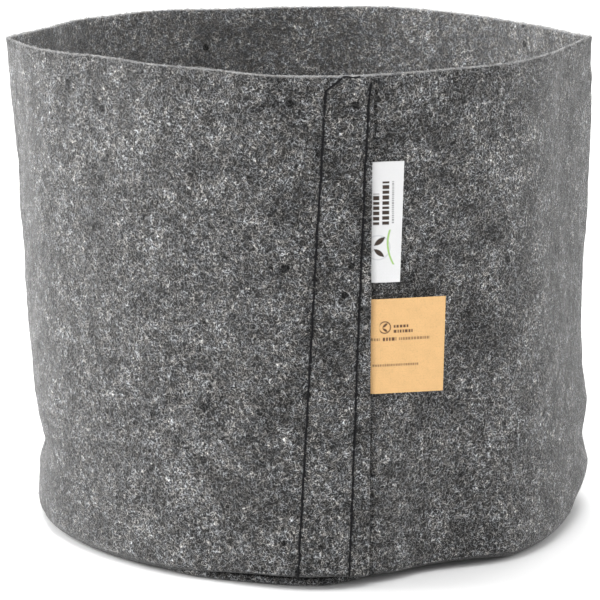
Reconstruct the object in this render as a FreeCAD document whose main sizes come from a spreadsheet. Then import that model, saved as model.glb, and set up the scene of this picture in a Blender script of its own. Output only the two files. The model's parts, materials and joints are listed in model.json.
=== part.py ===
import FreeCAD, Part
import math
import os

import Sketcher

# A cylindrical grow bag sewn from needle-punched felt.  +Z is up, the bag stands on Z = 0, its
# axis is the Z axis, and the lapped side seam is at the front, on the -Y side.  Millimetres.
#
# Places round the wall are given as a distance along it from the front centre line, positive
# towards +X.  The wall strip is wound anticlockwise as seen from above.

doc = FreeCAD.newDocument("fabric_grow_bag")

# ------------------------------------------------------------------ driving sizes

SIZES = (
    ("bag_diameter", 254.0, "outside diameter of the single wall"),
    ("bag_height", 217.0, "height of the rim over the ground"),
    ("felt", 1.8, "thickness of the felt"),
    ("allowance", 9.0, "felt turned in past the bend at the base seam"),
    ("turn_inside", 0.6, "inner bend where the wall turns in under the bag"),
    ("edge_setback", 0.6, "base fold inside the outside of the wall"),
    ("lap_width", 38.0, "overlap of the two ends of the wall strip"),
    ("lap_edge", 28.0, "place of the free edge of the outer end"),
    ("lap_clearance", 0.1, "room between the two layers past the thicker label's end"),
    ("edge_gap", 0.5, "free edge to the start of the low turned-in edge"),
    ("climb_bend", 40.0, "bend radius where the strip has climbed over its inner end"),
    ("climb_margin", 2.0, "end of the climb to the hidden inner end"),
    ("thread", 0.7, "diameter of the sewing thread"),
    ("stitch_pitch", 5.4, "length of one stitch"),
    ("stitch_slack", 0.2, "clear space between neighbouring stitches"),
    ("base_stitch_inset", 1.2, "base seam stitches inside the start of the bend"),
    ("row_1_top_inset", 18.4, "free edge to the left row of the side seam at the rim"),
    ("row_1_foot_inset", 29.8, "free edge to the left row of the side seam at the ground"),
    ("row_1_below_rim", 6.0, "where the left row turns off towards the rim"),
    ("runout_shift", 6.2, "sideways run of the left row's turned-off end"),
    ("row_2_top_inset", 1.4, "free edge to the right row of the side seam at the rim"),
    ("row_2_foot_inset", 8.6, "free edge to the right row of the side seam at the ground"),
    ("row_2_below_rim", 3.6, "top of the right row below the rim"),
    ("row_foot_clear", 1.0, "lowest stitch above the bend at the foot of the wall"),
    ("rim_clear", 0.5, "last stitch of the left row below the rim"),
    ("label_tab", 10.0, "length of each label held inside the lap"),
    ("label_setback", 2.0, "free edge to the line on which a label swings"),
    ("hinge_gap", 0.4, "swing line to the solid on each side of it"),
    ("flap_clearance", 0.3, "wall to the inner face of a loose label"),
    ("woven_width", 13.5, "woven label, from the free edge to its fold"),
    ("woven_height", 50.0, "woven label, along the seam"),
    ("woven_below_rim", 36.5, "woven label's upper end below the rim"),
    ("woven_thickness", 0.5, "woven label, two plies"),
    ("card_width", 32.0, "card label, from the free edge to its outer edge"),
    ("card_height", 40.0, "card label, along the seam"),
    ("label_spacing", 7.0, "woven label's lower end to the card label's upper end"),
    ("card_thickness", 0.4, "card label"),
)

sheet = doc.addObject("Spreadsheet::Sheet", "sizes")
for row, (alias, number, meaning) in enumerate(SIZES, start=1):
    sheet.set("A%d" % row, meaning)
    sheet.set("B%d" % row, str(number))
    sheet.setAlias("B%d" % row, alias)
doc.recompute()


def worth(expression):
    """The number that an expression on the sheet's aliases has now."""
    result = sheet.evalExpression(expression)
    return float(getattr(result, "Value", result))


def place(distance):
    """Expression for the angle about Z, in degrees, of a place at a distance along the wall."""
    return "(-90 + (%s) / (sizes.bag_diameter / 2) * 180 / pi)" % distance


# Radii and heights that several pieces share, as expressions on the sheet.
WALL_OUT = "(sizes.bag_diameter / 2)"
WALL_IN = "(sizes.bag_diameter / 2 - sizes.felt)"
LAP_GAP = "(sizes.woven_thickness + sizes.lap_clearance)"
LAP_OUT = "(sizes.bag_diameter / 2 + %s + sizes.felt)" % LAP_GAP
TURN_OUTSIDE = "(sizes.felt + sizes.turn_inside)"
TURN_START = "(sizes.bag_diameter / 2 - %s)" % TURN_OUTSIDE
SEAM_LEVEL = "(2 * sizes.felt + sizes.thread)"
LAP_LEVEL = "(3 * sizes.felt + sizes.thread + %s)" % LAP_GAP
FOLD_RADIUS = "(sizes.felt + sizes.thread / 2)"
FOLD_CENTRE = "(sizes.bag_diameter / 2 - sizes.edge_setback - sizes.felt - sizes.thread / 2)"
CUT_EDGE = "(%s - sizes.allowance)" % TURN_START
STITCH_CIRCLE = "(%s - sizes.base_stitch_inset)" % TURN_START
WOVEN_BOTTOM = "(sizes.bag_height - sizes.woven_below_rim - sizes.woven_height)"
CARD_BOTTOM = "(%s - sizes.label_spacing - sizes.card_height)" % WOVEN_BOTTOM

FREE_EDGE = place("sizes.lap_edge")
HIDDEN_EDGE = place("sizes.lap_edge - sizes.lap_width")
STRIP_START = place("sizes.lap_edge + sizes.edge_gap")
TAB_START = place("sizes.lap_edge - sizes.label_tab")
TAB_END = place("sizes.lap_edge + sizes.label_setback - sizes.hinge_gap")
FLAP_START = place("sizes.lap_edge + sizes.label_setback + sizes.hinge_gap")


# ------------------------------------------------------------------ sketches

def origin_plane(body, role):
    """The origin plane of a body that has this role."""
    return next(item for item in body.Origin.OriginFeatures if item.Role == role)


def new_body(name):
    """An empty body whose label names the sub-part."""
    body = doc.addObject("PartDesign::Body", name)
    body.Label = name
    return body


def pin(sketch, geometry, point, along_x, along_y):
    """Hold a point of the sketch at two expressions, measured from the sketch's origin."""
    for kind, expression in (("DistanceX", along_x), ("DistanceY", along_y)):
        index = sketch.addConstraint(
            Sketcher.Constraint(kind, -1, 1, geometry, point, worth(expression)))
        sketch.setExpression("Constraints[%d]" % index, expression)


def bind(sketch, constraint, expression):
    """Add a dimensional constraint and bind it to an expression."""
    index = sketch.addConstraint(constraint)
    sketch.setExpression("Constraints[%d]" % index, expression)


def bent_edge(start, end, radius, turns_left):
    """A short circular bend from one corner to the next, on the side given."""
    middle = (start + end) / 2
    half = (end - start) / 2
    reach = math.sqrt(max(radius ** 2 - half.Length ** 2, 0.0))
    side = FreeCAD.Vector(-half.y, half.x, 0).normalize()
    centre = middle + side * (reach if turns_left else -reach)
    circle = Part.Circle(centre, FreeCAD.Vector(0, 0, 1), radius)
    first = math.atan2(start.y - centre.y, start.x - centre.x)
    last = math.atan2(end.y - centre.y, end.x - centre.x)
    if turns_left:
        return Part.ArcOfCircle(circle, first, last)
    return Part.ArcOfCircle(circle, last, first)


def upright_section(body, name, angle, corners):
    """A closed sketch in the upright plane through Z at an angle.

    Each corner is (radius, height, bend): the bend is None for a straight edge to the next
    corner, or (expression of its radius, True where the edge turns left).
    """
    sketch = body.newObject("Sketcher::SketchObject", name)
    sketch.AttachmentSupport = (origin_plane(body, "XZ_Plane"), [""])
    sketch.MapMode = "FlatFace"
    sketch.AttachmentOffset = FreeCAD.Placement(
        FreeCAD.Vector(), FreeCAD.Rotation(FreeCAD.Vector(0, 1, 0), worth(angle)))
    sketch.setExpression("AttachmentOffset.Rotation.Angle", angle + " * 1 deg")
    points = [FreeCAD.Vector(worth(r), worth(z), 0) for r, z, _ in corners]
    for index, (_, _, bend) in enumerate(corners):
        start = points[index]
        end = points[(index + 1) % len(points)]
        if bend is None:
            sketch.addGeometry(Part.LineSegment(start, end))
        else:
            sketch.addGeometry(bent_edge(start, end, worth(bend[0]), bend[1]))
    for index, (along_x, along_y, bend) in enumerate(corners):
        first = 1 if bend is None or bend[1] else 2
        before = corners[index - 1][2]
        last = 2 if before is None or before[1] else 1
        other = (index - 1) % len(corners)
        sketch.addConstraint(Sketcher.Constraint("Coincident", other, last, index, first))
        pin(sketch, index, first, along_x, along_y)
        if bend is not None:
            bind(sketch, Sketcher.Constraint("Radius", index, worth(bend[0])), bend[0])
    return sketch


def turned(body, name, sketch, sweep):
    """Turn a section about Z, anticlockwise seen from above, through an angle in degrees."""
    feature = body.newObject("PartDesign::Revolution", name)
    feature.Profile = sketch
    feature.ReferenceAxis = (sketch, ["V_Axis"])
    feature.Angle = worth(sweep)
    feature.setExpression("Angle", sweep)
    return feature


def rectangle(inner, outer, bottom, top):
    """Corners of an upright rectangular section."""
    return ((inner, bottom, None), (outer, bottom, None), (outer, top, None), (inner, top, None))


# ------------------------------------------------------------------ wall

def wall_corners(level):
    """Section of the wall: upright felt whose foot turns inwards, lying at a level."""
    bend_top = "(%s + %s)" % (level, TURN_OUTSIDE)
    upper = "(%s + sizes.felt)" % level
    rim = "sizes.bag_height"
    return (
        (CUT_EDGE, level, None),
        (TURN_START, level, (TURN_OUTSIDE, True)),
        (WALL_OUT, bend_top, None),
        (WALL_OUT, rim, None),
        (WALL_IN, rim, None),
        (WALL_IN, bend_top, ("sizes.turn_inside", False)),
        (TURN_START, upper, None),
        (CUT_EDGE, upper, None),
    )


def wall_plan(body):
    """The line that the strip's outer face follows, seen from above.

    It runs round the bag, leaves the circle along a straight tangent, and bends onto the
    larger circle that covers the strip's own start.
    """
    out = worth(WALL_OUT)
    lap = worth(LAP_OUT)
    bend = worth("sizes.climb_bend")
    straight = math.sqrt((lap - bend) ** 2 - (out - bend) ** 2)
    climb = math.atan2(straight, out - bend)
    start = math.radians(worth(STRIP_START))
    climb_end = "(360 + %s)" % place("sizes.lap_edge - sizes.lap_width - sizes.climb_margin")
    top = math.radians(worth(climb_end))
    foot = top - climb
    end = math.radians(worth(FREE_EDGE)) + 2 * math.pi
    outward = FreeCAD.Vector(math.cos(foot), math.sin(foot), 0)
    forward = FreeCAD.Vector(-math.sin(foot), math.cos(foot), 0)
    up = FreeCAD.Vector(0, 0, 1)
    middle = FreeCAD.Vector()
    centre = outward * (out - bend) + forward * straight

    sketch = body.newObject("Sketcher::SketchObject", "wall_plan")
    sketch.AttachmentSupport = (origin_plane(body, "XY_Plane"), [""])
    sketch.MapMode = "FlatFace"
    sketch.addGeometry(Part.ArcOfCircle(Part.Circle(middle, up, out), start, foot))
    sketch.addGeometry(Part.LineSegment(outward * out, outward * out + forward * straight))
    sketch.addGeometry(Part.ArcOfCircle(Part.Circle(centre, up, bend), foot, top))
    sketch.addGeometry(Part.ArcOfCircle(Part.Circle(middle, up, lap), top, end))
    for arc, radius in ((0, WALL_OUT), (2, "sizes.climb_bend"), (3, LAP_OUT)):
        bind(sketch, Sketcher.Constraint("Radius", arc, worth(radius)), radius)
    sketch.addConstraint(Sketcher.Constraint("Coincident", 0, 3, -1, 1))
    sketch.addConstraint(Sketcher.Constraint("Coincident", 3, 3, -1, 1))
    for edge in (0, 1, 2):
        sketch.addConstraint(Sketcher.Constraint("Tangent", edge, 2, edge + 1, 1))
    spokes = (
        (start, out, 0, 1, STRIP_START),
        (top, lap, 3, 1, climb_end),
        (end, lap, 3, 2, "(360 + %s)" % FREE_EDGE),
    )
    for angle, radius, edge, point, expression in spokes:
        tip = FreeCAD.Vector(radius * math.cos(angle), radius * math.sin(angle), 0)
        spoke = sketch.addGeometry(Part.LineSegment(middle, tip), True)
        sketch.addConstraint(Sketcher.Constraint("Coincident", spoke, 1, -1, 1))
        sketch.addConstraint(Sketcher.Constraint("Coincident", spoke, 2, edge, point))
        bind(sketch, Sketcher.Constraint("Angle", spoke, angle), expression + " * 1 deg")
    return sketch


wall_panel = new_body("wall_panel")
strip_plan = wall_plan(wall_panel)
strip_section = upright_section(wall_panel, "strip_section", STRIP_START, wall_corners(SEAM_LEVEL))
doc.recompute()
strip = wall_panel.newObject("PartDesign::AdditivePipe", "strip")
strip.Profile = strip_section
strip.Spine = (strip_plan, ["Edge1", "Edge2", "Edge3", "Edge4"])
inner_section = upright_section(wall_panel, "inner_section", HIDDEN_EDGE, wall_corners(LAP_LEVEL))
inner_end = turned(wall_panel, "inner_end", inner_section,
                   "(%s - %s)" % (STRIP_START, HIDDEN_EDGE))

# ------------------------------------------------------------------ base

base_disc = new_body("base_disc")
fold = (FOLD_RADIUS, True)
slit = ("(sizes.thread / 2)", False)
base_section = upright_section(base_disc, "base_section", "0", (
    ("0", "0", None),
    (FOLD_CENTRE, "0", fold),
    ("(%s + %s)" % (FOLD_CENTRE, FOLD_RADIUS), FOLD_RADIUS, fold),
    (FOLD_CENTRE, SEAM_LEVEL, None),
    (CUT_EDGE, SEAM_LEVEL, None),
    (CUT_EDGE, "(sizes.felt + sizes.thread)", None),
    (FOLD_CENTRE, "(sizes.felt + sizes.thread)", slit),
    ("(%s + sizes.thread / 2)" % FOLD_CENTRE, FOLD_RADIUS, slit),
    (FOLD_CENTRE, "sizes.felt", None),
    ("0", "sizes.felt", None),
))
turned(base_disc, "folded_disc", base_section, "360")


# ------------------------------------------------------------------ labels

def label_tab(name, bottom, height, thickness):
    """The end of a label that lies curved between the two layers of the lap."""
    body = new_body(name)
    inner = "(%s + (%s - %s) / 2)" % (WALL_OUT, LAP_GAP, thickness)
    outer = "(%s + (%s + %s) / 2)" % (WALL_OUT, LAP_GAP, thickness)
    top = "(%s + %s)" % (bottom, height)
    section = upright_section(body, name + "_section", TAB_START,
                              rectangle(inner, outer, bottom, top))
    turned(body, name + "_curve", section, "(%s - %s)" % (TAB_END, TAB_START))
    return body


def label_flap(name, bottom, height, thickness, width):
    """The loose part of a label: a flat leaf that leaves the wall along its tangent."""
    body = new_body(name)
    inner = "(%s + sizes.flap_clearance)" % WALL_OUT
    outer = "(%s + sizes.flap_clearance + %s)" % (WALL_OUT, thickness)
    top = "(%s + %s)" % (bottom, height)
    section = upright_section(body, name + "_section", FLAP_START,
                              rectangle(inner, outer, bottom, top))
    leaf = body.newObject("PartDesign::Pad", name + "_leaf")
    leaf.Profile = section
    leaf.Reversed = True
    leaf.Length = worth("%s - sizes.label_setback - sizes.hinge_gap" % width)
    leaf.setExpression("Length", "%s - sizes.label_setback - sizes.hinge_gap" % width)
    return body


LABELS = (
    ("woven_label", WOVEN_BOTTOM, "sizes.woven_height", "sizes.woven_thickness",
     "sizes.woven_width"),
    ("card_label", CARD_BOTTOM, "sizes.card_height", "sizes.card_thickness",
     "sizes.card_width"),
)
label_bodies = []
for name, bottom, height, thickness, width in LABELS:
    label_bodies.append(label_tab(name + "_tab", bottom, height, thickness))
    label_bodies.append(label_flap(name + "_flap", bottom, height, thickness, width))


# ------------------------------------------------------------------ threads

STRAND_SIDES = 6
MITRED = 1


def on_wall(distance, radius, height):
    """Point at a distance along the wall, at a radius and a height."""
    angle = math.radians(worth(place("%.9f" % distance)))
    return FreeCAD.Vector(radius * math.cos(angle), radius * math.sin(angle), height)


def stitch(start, end, start_leg, end_leg):
    """One stitch: thread lying on the felt between two holes, and its two legs down them."""
    radius = worth("sizes.thread") / 2
    aside = (end - start).cross(start_leg).normalize()
    forward = start_leg.cross(aside).normalize()
    first = start + forward * radius
    last = end - forward * radius
    path = Part.makePolygon([first + start_leg, first, last, last + end_leg])
    turn = FreeCAD.Rotation(start_leg, 360 / STRAND_SIDES)
    corners = [aside * radius]
    for _ in range(STRAND_SIDES):
        corners.append(turn.multVec(corners[-1]))
    outline = Part.makePolygon([first + start_leg + corner for corner in corners])
    return path.makePipeShell([outline], True, False, MITRED)


def thread_piece(name, stitches):
    """One thread of a lockstitched seam, as the group of its stitches."""
    piece = doc.addObject("Part::Feature", name)
    piece.Label = name
    piece.Shape = Part.makeCompound(stitches)
    return piece


def row_corners(row):
    """Ends of the stitches of a straight side seam row, from its top down."""
    rim = worth("sizes.bag_height")
    upper = rim - worth("sizes.%s_below_rim" % row)
    lower = worth("%s + %s + sizes.row_foot_clear" % (LAP_LEVEL, TURN_OUTSIDE))
    count = int((upper - lower) / worth("sizes.stitch_pitch"))
    heights = [upper - index * worth("sizes.stitch_pitch") for index in range(count + 1)]
    foot_place = worth("sizes.lap_edge - sizes.%s_foot_inset" % row)
    slope = worth("sizes.%s_foot_inset - sizes.%s_top_inset" % (row, row)) / rim
    return [(foot_place + slope * height, height) for height in heights]


def side_row(name, corners, surface, leg):
    """A side seam thread: stitches from corner to corner at a radius, legs pointing inwards.

    A negative leg points outwards, as the bobbin thread's does.
    """
    half_slack = worth("sizes.stitch_slack") / 2
    stitches = []
    for (place_a, height_a), (place_b, height_b) in zip(corners, corners[1:]):
        start = on_wall(place_a, surface, height_a)
        end = on_wall(place_b, surface, height_b)
        along = (end - start).normalize()
        inward = FreeCAD.Vector(-start.x, -start.y, 0).normalize()
        stitches.append(stitch(start + along * half_slack, end - along * half_slack,
                               inward * leg, inward * leg))
    return thread_piece(name, stitches)


needle_surface = worth(LAP_OUT)
bobbin_surface = worth(WALL_IN)
half_seam = worth("sizes.felt + %s / 2" % LAP_GAP)

row_1 = row_corners("row_1")
row_2 = row_corners("row_2")
runout_top = worth("sizes.bag_height - sizes.rim_clear")
runout = (row_1[0][0] + worth("sizes.runout_shift"), runout_top)

threads = []
for number, corners in ((1, [runout] + row_1), (2, row_2)):
    stem = "side_seam_row_%d" % number
    threads.append(side_row(stem + "_needle_thread", corners, needle_surface, half_seam))
    threads.append(side_row(stem + "_bobbin_thread", corners, bobbin_surface, -half_seam))


def base_thread(name, height, raised_height, leg_end):
    """A base seam thread: stitches round the stitch circle, legs up or down to a level.

    Where the circle crosses the lap, the stitches lie at the raised height.
    """
    radius = worth(STITCH_CIRCLE)
    count = round(2 * math.pi * radius / worth("sizes.stitch_pitch"))
    step = 2 * math.pi / count
    slack = worth("sizes.stitch_slack") / 2 / radius
    hidden = math.radians(worth(HIDDEN_EDGE))
    strip_start = math.radians(worth(STRIP_START))

    def end_point(angle):
        turns = math.floor((angle - hidden) / (2 * math.pi))
        in_lap = angle - turns * 2 * math.pi < strip_start
        level = raised_height if in_lap else height
        return FreeCAD.Vector(radius * math.cos(angle), radius * math.sin(angle), level)

    stitches = []
    for index in range(count):
        start = end_point(index * step + slack)
        end = end_point((index + 1) * step - slack)
        stitches.append(stitch(start, end, FreeCAD.Vector(0, 0, leg_end - start.z),
                               FreeCAD.Vector(0, 0, leg_end - end.z)))
    return thread_piece(name, stitches)


seam_level = worth(SEAM_LEVEL)
low_top = worth("%s + sizes.felt" % SEAM_LEVEL)
lap_top = worth("%s + sizes.felt" % LAP_LEVEL)
slit_top = worth("sizes.felt + sizes.thread")
threads.append(base_thread("base_seam_needle_thread", low_top, lap_top, seam_level))
threads.append(base_thread("base_seam_bobbin_thread", slit_top, slit_top, seam_level))

# ------------------------------------------------------------------ check and write

doc.recompute()
for item in doc.Objects:
    if {"Invalid", "Error"} & set(item.State):
        raise RuntimeError("%s did not compute: %s" % (item.Name, item.State))

pieces = [wall_panel, base_disc] + label_bodies + threads
for piece in pieces:
    if piece.Shape.isNull() or not piece.Shape.isValid():
        raise RuntimeError("%s has no valid shape" % piece.Label)

os.makedirs("parts", exist_ok=True)
for piece in pieces:
    piece.Shape.exportStep(os.path.join("parts", piece.Label + ".step"))
    box = piece.Shape.BoundBox
    print("%-32s %4d solids %9.1f mm3  x %.1f..%.1f  y %.1f..%.1f  z %.1f..%.1f" % (
        piece.Label, len(piece.Shape.Solids), piece.Shape.Volume,
        box.XMin, box.XMax, box.YMin, box.YMax, box.ZMin, box.ZMax))
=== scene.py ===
import json
import math

import bpy
import numpy as np
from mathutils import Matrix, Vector


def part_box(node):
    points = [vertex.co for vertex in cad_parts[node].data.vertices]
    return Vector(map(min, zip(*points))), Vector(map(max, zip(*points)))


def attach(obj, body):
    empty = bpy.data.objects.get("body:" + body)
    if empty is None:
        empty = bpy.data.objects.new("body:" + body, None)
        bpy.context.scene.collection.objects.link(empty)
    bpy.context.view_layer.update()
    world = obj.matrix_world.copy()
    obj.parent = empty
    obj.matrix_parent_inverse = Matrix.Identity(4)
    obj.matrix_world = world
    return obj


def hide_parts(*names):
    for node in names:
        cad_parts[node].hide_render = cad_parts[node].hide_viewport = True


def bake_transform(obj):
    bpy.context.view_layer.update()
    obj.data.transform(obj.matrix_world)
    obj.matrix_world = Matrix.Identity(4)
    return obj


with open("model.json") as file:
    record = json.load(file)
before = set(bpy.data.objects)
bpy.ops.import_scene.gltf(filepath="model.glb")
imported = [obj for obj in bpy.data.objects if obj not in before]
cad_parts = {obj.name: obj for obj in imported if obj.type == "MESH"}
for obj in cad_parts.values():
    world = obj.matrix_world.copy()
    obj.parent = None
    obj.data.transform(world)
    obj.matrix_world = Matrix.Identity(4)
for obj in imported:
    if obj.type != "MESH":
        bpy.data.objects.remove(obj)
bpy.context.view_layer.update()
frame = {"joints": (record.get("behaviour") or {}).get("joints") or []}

MM = 0.001

# ---------------------------------------------------------------- camera
# A long lens a little above the rim, looking straight at the lapped seam and down into the bag.

bag_radius, _, bag_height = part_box("wall_panel")[1]

CAMERA_DISTANCE = 1143 * MM
CAMERA_OVER_RIM = 132 * MM
CAMERA_ASIDE = -0.7 * MM
CAMERA_PITCH = math.radians(12.5)
LENS = 152.7

camera_data = bpy.data.cameras.new("camera")
camera_data.lens = LENS
camera_data.sensor_width = 36.0
camera_data.clip_start = 0.05
camera = bpy.data.objects.new("camera", camera_data)
bpy.context.collection.objects.link(camera)
camera.location = (CAMERA_ASIDE, -CAMERA_DISTANCE, bag_height + CAMERA_OVER_RIM)
camera.rotation_euler = (math.pi / 2 - CAMERA_PITCH, 0, 0)
bpy.context.scene.camera = camera

# ---------------------------------------------------------------- floor and lights
# A pale floor in a pale surround.  The strongest soft light is on the left, weaker ones on the
# right and in front, one overhead reaches the inside of the bag, and one behind lights the floor.


def set_inputs(node, **values):
    """Set a shader node's sockets by name, with underscores for the spaces."""
    for name, value in values.items():
        node.inputs[name.replace("_", " ")].default_value = value


def new_material(name):
    """A new material, its node tree and its Principled shader."""
    material = bpy.data.materials.new(name)
    material.use_nodes = True
    return material, material.node_tree, material.node_tree.nodes["Principled BSDF"]


FLOOR_HALF = 3.0
FLOOR_GREY = 0.93
floor_mesh = bpy.data.meshes.new("floor")
floor_mesh.from_pydata([(-FLOOR_HALF, -FLOOR_HALF, 0), (FLOOR_HALF, -FLOOR_HALF, 0),
                        (FLOOR_HALF, FLOOR_HALF, 0), (-FLOOR_HALF, FLOOR_HALF, 0)],
                       [], [(0, 1, 2, 3)])
floor = bpy.data.objects.new("floor", floor_mesh)
bpy.context.collection.objects.link(floor)
pale_floor, _, shader = new_material("pale_floor")
set_inputs(shader, Base_Color=(FLOOR_GREY, FLOOR_GREY, FLOOR_GREY, 1), Roughness=0.7)
floor_mesh.materials.append(pale_floor)

world = bpy.data.worlds.new("pale_surround")
world.use_nodes = True
set_inputs(world.node_tree.nodes["Background"], Color=(1, 1, 1, 1), Strength=0.60)
bpy.context.scene.world = world


def soft_light(name, place, aim, size, watts):
    """A square area light that faces a point."""
    data = bpy.data.lights.new(name, "AREA")
    data.shape = "SQUARE"
    data.size = size
    data.energy = watts
    light = bpy.data.objects.new(name, data)
    light.location = place
    light.rotation_euler = (Vector(aim) - Vector(place)).to_track_quat("-Z", "Y").to_euler()
    bpy.context.collection.objects.link(light)


middle = (0, 0, bag_height / 2)
soft_light("left_light", (-1.5, 0.05, 0.75), middle, 0.9, 30)
soft_light("right_light", (1.5, 0.15, 0.7), middle, 0.8, 9)
soft_light("front_light", (-0.9, -1.6, 1.2), middle, 0.8, 4)
soft_light("top_light", (-0.1, -0.35, 1.6), middle, 1.0, 14)
soft_light("back_light", (0, 1.3, 1.6), (0, 1.2, 0), 1.6, 40)

bpy.context.scene.view_settings.view_transform = "Standard"

# ---------------------------------------------------------------- the bag's soft shape
# Felt this thick stands by itself but never truly round: it keeps the creases of having been
# packed flat at its left and right, and bellies in and out between them.
#
# Angles are taken from the front, where the seam is, positive towards the right.

# Swellings of the wall at the rim and at the foot: angle, spread of the angle (both degrees),
# and how far out, in millimetres.  A negative spread makes a sharp crease, not a round swell.
RIM_SWELLS = (
    (-45, 24, -7.5), (36, 14, 1.5), (70, 15, -5.5), (114, 20, -6.5),
    (163, 18, 3.6), (-133, 18, 1.5), (-109, 12, -3.6),
    (-89, -8, 6.6), (89, -7, 6.3),
)
# The lap's flare, which is steep: most of it is within the topmost fifth of the wall.
LAP_FLARE = ((10, 17, 4.6),)
FLARE_POWER = 10
FOOT_SWELLS = (
    (-52, 38, -3.7), (-90, 18, -2.8), (2, 9, 2.6), (28, 11, -7.0), (48, 15, 3.2),
    (95, 24, 3.6), (180, 60, -3.0),
)
# Dents and bellies part-way up: angle, spread, height and its spread (mm), and how far out.
WALL_DENTS = (
    (-88, 26, 112, 62, -1.3), (-88, 22, 34, 10, -4.3), (-88, 26, 46, 26, -1.6),
    (-88, 26, 14, 8, -1.0), (89, 26, 95, 34, -1.8), (88, 20, 52, 9, 1.1),
    (90, 20, 36, 16, 1.7), (92, 20, 34, 7, -1.3), (88, 20, 19, 9, 2.8), (88, 20, 4, 6, -2.0),
    (-50, 18, 60, 30, 1.2), (-20, 14, 120, 40, -0.8), (60, 16, 150, 40, -1.0),
)
# How far the rim rises above its mean height, in the same terms as the swellings.
RIM_LIFTS = ((-45, 26, 1.5), (8, 16, -0.5), (89, 12, 0.8), (118, 22, -0.7), (165, 20, 0.5))


def turn_apart(angle, centre):
    """Angle between two directions round the bag, in degrees, from -180 to 180."""
    return (angle - centre + 180) % 360 - 180


def swelling(angle, swells):
    """Sum of bell curves over the angle; a crease is an exponential peak in its place."""
    total = np.zeros_like(angle)
    for centre, spread, out in swells:
        apart = np.abs(turn_apart(angle, centre)) / abs(spread)
        total += out * MM * np.exp(-(apart if spread < 0 else apart ** 2))
    return total


def soft_step(value, start, end):
    """0 before start, 1 after end, and a smooth cubic between."""
    t = np.clip((value - start) / (end - start), 0, 1)
    return t * t * (3 - 2 * t)


def soft_span(angle, start, end, edge):
    """1 between two angles and 0 outside, with smooth edges so many degrees wide."""
    middle, half = (start + end) / 2, (end - start) / 2
    return 1 - soft_step(np.abs(turn_apart(angle, middle)), half - edge / 2, half + edge / 2)


def front_span(angle, start, full, fall, end):
    """1 from full to fall, 0 before start and after end, all in degrees, for any whole turn."""
    turned = turn_apart(angle, 0)
    return soft_step(turned, start, full) * (1 - soft_step(turned, fall, end))


def ripple(angle, height, seed, waves, turns, rises, size):
    """Sum of sine waves of random direction that close on themselves round the bag.

    Each wave has a whole number of turns up to turns, and up to rises radians a metre.
    """
    draw = np.random.default_rng(seed)
    total = np.zeros(np.broadcast(angle, height).shape)
    for _ in range(waves):
        turning = draw.integers(-turns, turns + 1)
        rising = draw.uniform(-rises, rises)
        total += np.sin(np.radians(angle) * turning + height * rising + draw.uniform(0, 6.283))
    return size * total / math.sqrt(waves / 2)


def wall_radius(angle, height):
    """Outside radius of the wall's inner layer, from the swellings, dents and long ripples."""
    share = np.clip(height / bag_height, 0, 1)
    radius = bag_radius + swelling(angle, RIM_SWELLS) * share
    radius = radius + swelling(angle, LAP_FLARE) * share ** FLARE_POWER
    radius = radius + swelling(angle, FOOT_SWELLS) * (1 - share)
    for centre, spread, level, rise, out in WALL_DENTS:
        apart = (turn_apart(angle, centre) / spread) ** 2 + ((height / MM - level) / rise) ** 2
        radius = radius + out * MM * np.exp(-apart)
    return radius + ripple(angle, height, seed=5, waves=24, turns=9, rises=60, size=0.30 * MM)


def rim_lift(angle, height):
    """Rise of the wall's points, none at the ground and all of the rim's own at the rim."""
    share = np.clip(height / bag_height, 0, 1) ** 2
    waver = ripple(angle, 0 * angle, seed=9, waves=10, turns=14, rises=1, size=0.25 * MM)
    return (swelling(angle, RIM_LIFTS) + waver) * share


def around(angle, radius, height):
    """Points at an angle from the front, a radius and a height, as an array of x, y, z."""
    turn = np.radians(angle)
    return np.stack(np.broadcast_arrays(radius * np.sin(turn), -radius * np.cos(turn), height), -1)


# ---------------------------------------------------------------- wall panel
# One strip of needle-punched felt wound round once, its outer end lapped over its inner end at
# the front.  The foot turns in and is sewn to the base; at the sides it sags over the seam.

FELT = 1.8 * MM
FELT_GREY = 0.119
FIBRE_CURL = 2.2 * MM
SMOOTH_TONE = 2.0
SMOOTHING = 0.13
# Painted light: the inner face's grey is raised by this gain to stand in for light inside the bag.
INSIDE_PAINTED_LIGHT_GAIN = 1.45
# Painted highlight along the cut rim: its grey is carried this share of the way to this pale tone.
RIM_HIGHLIGHT_TONE = 3.4
RIM_HIGHLIGHT_SHARE = 0.5
# Painted shade: the grey in the seam's crevice is multiplied by this gain.
SEAM_PAINTED_SHADE_GAIN = 0.12
LAP_GAP = 0.6 * MM
LAP_WIDTH = 38 * MM
CLIMB = 30 * MM
RIM_ROUND = 0.75 * MM

hinge_at = next(joint["pos_m"] for joint in frame["joints"] if joint["name"] == "card_label_bend")
HINGE_PAST_EDGE = 2 * MM
around_front = bag_radius * math.atan2(hinge_at[0], -hinge_at[1])
lap_edge = around_front - HINGE_PAST_EDGE
circuit = 2 * math.pi * bag_radius
seam_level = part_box("base_disc")[1][2]
FOOT_DIP = 4 * MM
SEAM_GAPE = 1.5 * MM
ALLOWANCE_FLAT = 5 * MM
# Degrees between which the foot climbs onto the seam, and falls again.
SHOWING_SEAM = (-40, -4, 4, 20)
# Degrees between which it hangs a little above the ground, and how wide the change is.
HANGING_FOOT = (8, 42, 12)
HANG = 3.2 * MM
SAG = 0.5 * MM
TIGHT_BEND = 2.1 * MM
ROUND_BEND = 7.5 * MM


def add_node(tree, kind, **settings):
    """A new shader node with some of its properties set."""
    node = tree.nodes.new(kind)
    for name, value in settings.items():
        setattr(node, name, value)
    return node


def feed(tree, socket, value):
    """Join an output to a socket, or set a plain number on the socket."""
    if isinstance(value, bpy.types.NodeSocket):
        tree.links.new(value, socket)
    else:
        socket.default_value = value


def calculate(tree, operation, *values):
    """Output of a Math node on outputs and plain numbers."""
    node = add_node(tree, "ShaderNodeMath", operation=operation)
    for socket, value in zip(node.inputs, values):
        feed(tree, socket, value)
    return node.outputs[0]


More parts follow.
